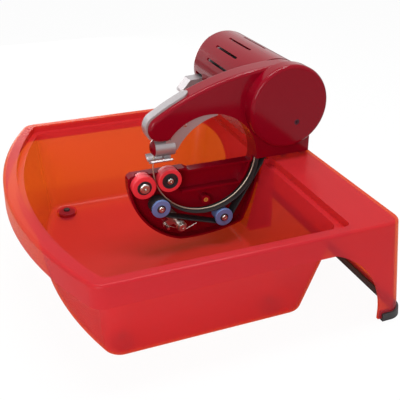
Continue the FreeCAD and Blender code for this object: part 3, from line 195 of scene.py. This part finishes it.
# %% Tyres, belt and feet
red_urethane = new_finish("cast urethane red", "#D5303C", 0.40)[0]
blue_urethane = new_finish("cast urethane slate blue", "#5C76AA", 0.40)[0]
black_rubber, tree, shader = new_finish("moulded black rubber", "#171517", 0.62, ior=1.52)
place = add_node(tree, "ShaderNodeTexCoord")
bloom = add_node(
    tree,
    "ShaderNodeTexNoise",
    sockets={"Scale": per_metre(4.0), "Detail": 3.0},
    links={"Vector": place.outputs["Object"]},
)
dull = add_node(
    tree,
    "ShaderNodeMapRange",
    sockets={"To Min": 0.52, "To Max": 0.72},
    links={"Value": bloom.outputs["Fac"]},
)
tree.links.new(dull.outputs["Result"], shader.inputs["Roughness"])
black_nylon = new_finish("moulded black nylon", "#26262A", 0.38, ior=1.53)[0]

# %% [markdown]
# Pins, screws, lever and spring are turned or drawn steel. Fine turning marks run round each
# axle, and all axles lie along X, so a wave along X draws them at their real direction. The
# ring is the same steel with a coat of diamond grit, a sparkle of small facets. The insert in
# the jaw is brass, and the screw of the round cover is blackened, so it shows as a dark dot.


# %% Steel, diamond coat, brass, black oxide
def wave_scale(millimetres):
    radians_per_unit = 20.0
    return per_metre(millimetres) * math.tau / radians_per_unit


turned_steel, tree, shader = new_finish("turned steel", "#B9B7B3", 0.30, metallic=1.0)
place = add_node(tree, "ShaderNodeTexCoord")
# Turning marks of 0.1 mm are drawn near 1.6 mm so that they show.
marks = add_node(
    tree,
    "ShaderNodeTexWave",
    {"bands_direction": "X"},
    {"Scale": wave_scale(1.579), "Distortion": 0.4},
    {"Vector": place.outputs["Object"]},
)
turned = add_node(
    tree,
    "ShaderNodeMapRange",
    sockets={"To Min": 0.24, "To Max": 0.38},
    links={"Value": marks.outputs["Fac"]},
)
tree.links.new(turned.outputs["Result"], shader.inputs["Roughness"])

diamond_coat, tree, shader = new_finish("diamond coated steel wire", "#C2BAA8", 0.45, metallic=0.85)
place = add_node(tree, "ShaderNodeTexCoord")
# Grit of 0.15 mm is drawn at 0.5 mm so that it shows.
grit = add_node(
    tree,
    "ShaderNodeTexVoronoi",
    sockets={"Scale": per_metre(0.5)},
    links={"Vector": place.outputs["Object"]},
)
facets = add_node(
    tree,
    "ShaderNodeBump",
    sockets={"Strength": 0.5, "Distance": bump_depth},
    links={"Height": grit.outputs["Distance"]},
)
tree.links.new(facets.outputs["Normal"], shader.inputs["Normal"])
turned_brass = new_finish("turned brass", "#E8BE62", 0.34, metallic=0.7)[0]
blackened_steel = new_finish("black oxide steel", "#4A2630", 0.40, metallic=0.8)[0]

# %% [markdown]
# Inside the motor the cores are stacked sheets of electrical steel, so fine dark lines cross
# the axis. Bells and pulley are die-cast aluminium, matt and slightly cloudy.

# %% Laminations and die castings
stacked_sheets, tree, shader = new_finish("stacked electrical steel", "#6E6E72", 0.45, metallic=1.0)
place = add_node(tree, "ShaderNodeTexCoord")
# Sheets of 0.5 mm are drawn near 2 mm so that they show.
sheets = add_node(
    tree,
    "ShaderNodeTexWave",
    {"bands_direction": "X"},
    {"Scale": wave_scale(1.974)},
    {"Vector": place.outputs["Object"]},
)
# A mix node of colours has its sockets at these numbers.
share, dark_sheet, pale_sheet, mixed = 0, 6, 7, 2
sheet_tone = add_node(
    tree,
    "ShaderNodeMix",
    {"data_type": "RGBA"},
    {dark_sheet: linear("#4C4C50"), pale_sheet: linear("#7E7E82")},
    {share: sheets.outputs["Fac"]},
)
tree.links.new(sheet_tone.outputs[mixed], shader.inputs["Base Color"])
die_cast = new_finish("die-cast aluminium", "#B4B6B8", 0.48, metallic=1.0)[0]

# %% [markdown]
# Each CAD node gets the finish of its real piece. A table by finish reads like a parts list,
# and the count at the end shows that no node was left bare.

# %% Give every node its finish
finishes = {
    tray_plastic: ["tray"],
    head_plastic: [
        "head_frame",
        "arm_cover",
        "pulley_cover",
        "motor_housing",
        "motor_end_cap",
        "guide_cap",
    ],
    grey_nylon: ["nose_guard", "blade_guide", "switch_paddle"],
    red_urethane: ["front_pinch_tyre", "rear_pinch_tyre"],
    blue_urethane: ["front_belt_tyre", "rear_belt_tyre"],
    black_rubber: ["tray_feet", "end_foot_strip", "drive_belt"],
    black_nylon: [
        "front_pinch_hub",
        "rear_pinch_hub",
        "front_belt_hub",
        "rear_belt_hub",
        "switch_body",
        "power_inlet",
    ],
    diamond_coat: ["ring_blade"],
    turned_brass: ["brass_insert"],
    blackened_steel: ["pulley_cover_screw"],
    stacked_sheets: ["motor_stator", "rotor_core"],
    die_cast: ["front_bell", "rear_bell", "drive_pulley"],
}
dressed = {name for names in finishes.values() for name in names}
finishes[turned_steel] = [name for name in nodes if name not in dressed]
for finish, names in finishes.items():
    for name in names:
        nodes[name].data.materials.clear()
        nodes[name].data.materials.append(finish)
print("dressed", sum(len(names) for names in finishes.values()), "of", len(nodes))

# %% [markdown]
# A pinch tyre is a thick ring of urethane with rounded shoulders, and the wire wears a shallow
# groove round its middle. It could be turned from a profile, but a cylinder shows the steps
# better: inset the ends to the bore, bridge the two inner loops, bisect beside the middle, pull
# the middle loop in, and bevel the shoulders. The two tyres differ only in place and bore.


# %% Tyre helpers
def select_where(test, kind):
    mesh = bmesh.from_edit_mesh(bpy.context.object.data)
    bpy.ops.mesh.select_all(action="DESELECT")
    bpy.ops.mesh.select_mode(type=kind)
    chosen = 0
    for part in {"FACE": mesh.faces, "EDGE": mesh.edges, "VERT": mesh.verts}[kind]:
        if test(part):
            part.select_set(True)
            chosen += 1
    mesh.select_flush_mode()
    bmesh.update_edit_mesh(bpy.context.object.data)
    return chosen


def cross_section_radius(spot, centre):
    return math.hypot(spot.y - centre.y, spot.z - centre.z)


# %% Model a grooved tyre
tyre_sides = 96
touching = 1e-6
smooth_angle = math.radians(35)


def grooved_tyre(name, centre, outer, bore, half_width, shoulder, groove):
    bpy.ops.object.select_all(action="DESELECT")
    bpy.ops.mesh.primitive_cylinder_add(
        vertices=tyre_sides,
        radius=outer,
        depth=2 * half_width,
        location=centre,
        rotation=(0, math.pi / 2, 0),
    )
    tyre = bpy.context.object
    tyre.name = name
    tyre.data.name = name
    bpy.ops.object.transform_apply(location=True, rotation=True, scale=True)
    bpy.ops.object.mode_set(mode="EDIT")
    select_where(lambda face: abs(face.normal.x) > 0.9, "FACE")
    bpy.ops.mesh.inset(thickness=(outer - bore) * math.cos(math.pi / tyre_sides), depth=0)
    bpy.ops.mesh.delete(type="FACE")
    select_where(lambda edge: edge.is_boundary, "EDGE")
    bpy.ops.mesh.bridge_edge_loops()
    groove_half = 1.4 * groove
    for x in (-groove_half, 0.0, groove_half):
        bpy.ops.mesh.select_all(action="SELECT")
        bpy.ops.mesh.bisect(plane_co=(centre.x + x, 0, 0), plane_no=(1, 0, 0))
    middle = (outer + bore) / 2

    def on_groove(vert):
        at_middle = abs(vert.co.x - centre.x) < touching
        return at_middle and cross_section_radius(vert.co, centre) > middle

    select_where(on_groove, "VERT")
    shrink = (outer - groove) / outer
    bpy.ops.transform.resize(value=(1, shrink, shrink), center_override=centre)

    def on_shoulder(edge):
        spots = [vert.co for vert in edge.verts]
        at_end = all(abs(abs(spot.x - centre.x) - half_width) < touching for spot in spots)
        return at_end and all(cross_section_radius(spot, centre) > middle for spot in spots)

    select_where(on_shoulder, "EDGE")
    bpy.ops.mesh.bevel(offset=shoulder, segments=4)
    bpy.ops.mesh.select_all(action="SELECT")
    bpy.ops.mesh.normals_make_consistent(inside=False)
    bpy.ops.object.mode_set(mode="OBJECT")
    bpy.ops.object.shade_smooth_by_angle(angle=smooth_angle)
    tyre.data.materials.append(red_urethane)
    return tyre


# %% Two grooved tyres on their rollers
hub_gap = 0.00002
for side in ("front", "rear"):
    low, high = [Vector(corner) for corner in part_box(side + "_pinch_tyre")]
    hub_low, hub_high = [Vector(corner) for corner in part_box(side + "_pinch_hub")]
    tyre = grooved_tyre(
        side + "_grooved_tyre",
        (low + high) / 2,
        (high.z - low.z) / 2,
        (hub_high.z - hub_low.z) / 2 + hub_gap,
        (high.x - low.x) / 2,
        shoulder=0.0012,
        groove=0.0006,
    )
    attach(tyre, side + "_pinch_roller")
    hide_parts(side + "_pinch_tyre")
    print(tyre.name, len(tyre.data.polygons), "faces")

# %% [markdown]
# The belt is rubber and stretches when the tension arm swings. A copy of its mesh stands for it
# and keeps its shape, while the CAD node is hidden. Its moulded edges are broken a little.

# %% A copy of the belt with broken edges
belt = bpy.data.objects.new("stretching_belt", nodes["drive_belt"].data.copy())
bpy.context.collection.objects.link(belt)
bpy.ops.object.select_all(action="DESELECT")
belt.select_set(True)
bpy.context.view_layer.objects.active = belt
bpy.ops.object.mode_set(mode="EDIT")
bpy.ops.mesh.select_all(action="SELECT")
bpy.ops.mesh.remove_doubles(threshold=touching)
corner_angle = math.radians(60)
edge_break = 0.0003
corners = select_where(lambda edge: edge.calc_face_angle(0) > corner_angle, "EDGE")
bpy.ops.mesh.bevel(offset=edge_break, segments=2)
bpy.ops.object.mode_set(mode="OBJECT")
bpy.ops.object.shade_smooth_by_angle(angle=smooth_angle)
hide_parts("drive_belt")
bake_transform(belt)
print("belt corners broken", corners)

# %% [markdown]
# The floor is one plain pale sheet, large enough that its edge never shows. It keeps the
# shadow under the tray. Seen straight it is lifted to white, and through the tray only a
# quarter as much, or the tub's floor would glow. The world is a soft grey light, and a camera
# ray, a mirror ray or a ray through clear plastic sees it as white.

# %% Floor and world
floor_drop = 0.0005
pure_white = (1, 1, 1, 1)
bpy.ops.mesh.primitive_plane_add(size=12, location=(0, 0, -floor_drop))
floor = bpy.context.object
floor.name = "studio_floor"
bpy.ops.object.transform_apply(location=True)
floor_paper, tree, shader = new_finish("matt white paper", "#F2F2F2", 0.9)
sight = add_node(tree, "ShaderNodeLightPath")
white = add_node(tree, "ShaderNodeEmission", sockets={"Color": pure_white, "Strength": 1.0})
# A ray through one wall of the tray meets two clear faces.
haze = add_node(
    tree,
    "ShaderNodeMapRange",
    sockets={"From Max": 2.0, "To Min": 0.95, "To Max": 0.24},
    links={"Value": sight.outputs["Transparent Depth"]},
)
lift = add_node(
    tree,
    "ShaderNodeMath",
    {"operation": "MULTIPLY"},
    links={0: sight.outputs["Is Camera Ray"], 1: haze.outputs["Result"]},
)
paper_mix = add_node(tree, "ShaderNodeMixShader", links={0: lift.outputs[0]})
tree.links.new(shader.outputs[0], paper_mix.inputs[1])
tree.links.new(white.outputs[0], paper_mix.inputs[2])
tree.links.new(paper_mix.outputs[0], tree.nodes["Material Output"].inputs["Surface"])
floor.data.materials.append(floor_paper)

world = bpy.data.worlds.new("studio")
world.use_nodes = True
bpy.context.scene.world = world
tree = world.node_tree
soft = tree.nodes["Background"]
soft.inputs["Color"].default_value = pure_white
soft.inputs["Strength"].default_value = 0.33
paper = add_node(tree, "ShaderNodeBackground", sockets={"Color": pure_white, "Strength": 1.0})
sight = add_node(tree, "ShaderNodeLightPath")
direct = add_node(
    tree,
    "ShaderNodeMath",
    {"operation": "MAXIMUM"},
    links={0: sight.outputs["Is Camera Ray"], 1: sight.outputs["Is Glossy Ray"]},
)
seen = add_node(
    tree,
    "ShaderNodeMath",
    {"operation": "MAXIMUM"},
    links={0: direct.outputs[0], 1: sight.outputs["Is Transmission Ray"]},
)
world_mix = add_node(tree, "ShaderNodeMixShader", links={0: seen.outputs[0]})
tree.links.new(soft.outputs[0], world_mix.inputs[1])
tree.links.new(paper.outputs[0], world_mix.inputs[2])
tree.links.new(world_mix.outputs[0], tree.nodes["World Output"].inputs["Surface"])
print("floor and world ready")

# %% [markdown]
# The largest and strongest box stands on the camera's side and lights the near walls. The key
# box is smaller and weaker, and shines down from the far rear. A low box beside the far wall
# makes its orange glow. A long narrow strip overhead draws a line along the polished edges.


# %% Soft boxes
def soft_box(name, place, target, width, height, power):
    bpy.ops.object.light_add(type="AREA", location=place)
    lamp = bpy.context.object
    lamp.name = name
    lamp.data.shape = "RECTANGLE"
    lamp.data.size = width
    lamp.data.size_y = height
    lamp.data.energy = power
    lamp.rotation_euler = (Vector(target) - Vector(place)).to_track_quat("-Z", "Y").to_euler()
    print(name, power, "W")


soft_box("key_box", (-0.4, 0.5, 1.6), (0, 0, 0.1), 0.5, 0.5, 7)
soft_box("fill_box", (1.4, -1.0, 0.8), (0, 0, 0.12), 0.9, 0.9, 21)
soft_box("back_box", (-1.2, -0.05, 0.24), (-0.2, -0.05, 0.07), 0.45, 0.45, 5)
soft_box("strip_box", (0.15, 0.0, 1.3), (0, 0.05, 0.2), 0.9, 0.16, 12)

# %% [markdown]
# The camera stands where the photographer stood: right of the bowed front, looking down. Its
# place and lens were found by fitting the ring, the round cover and the tray's rim.

# %% Camera
turn = math.radians(68.64)
rise = math.radians(27.91)
back = Vector((math.sin(turn) * math.cos(rise), -math.cos(turn) * math.cos(rise), math.sin(rise)))
right = Vector((math.cos(turn), math.sin(turn), 0))
up = back.cross(right)
camera_data = bpy.data.cameras.new("photo_camera")
camera_data.lens = 59.03
camera_data.sensor_width = 36
camera = bpy.data.objects.new("photo_camera", camera_data)
bpy.context.collection.objects.link(camera)
camera_place = (0.7378, -0.2505, 0.4975)
facing = Matrix((right, up, back)).transposed().to_4x4()
camera.matrix_world = Matrix.Translation(camera_place) @ facing
bpy.context.scene.camera = camera
bpy.context.scene.view_settings.view_transform = "Standard"
print("camera at", tuple(round(c, 4) for c in camera.location))
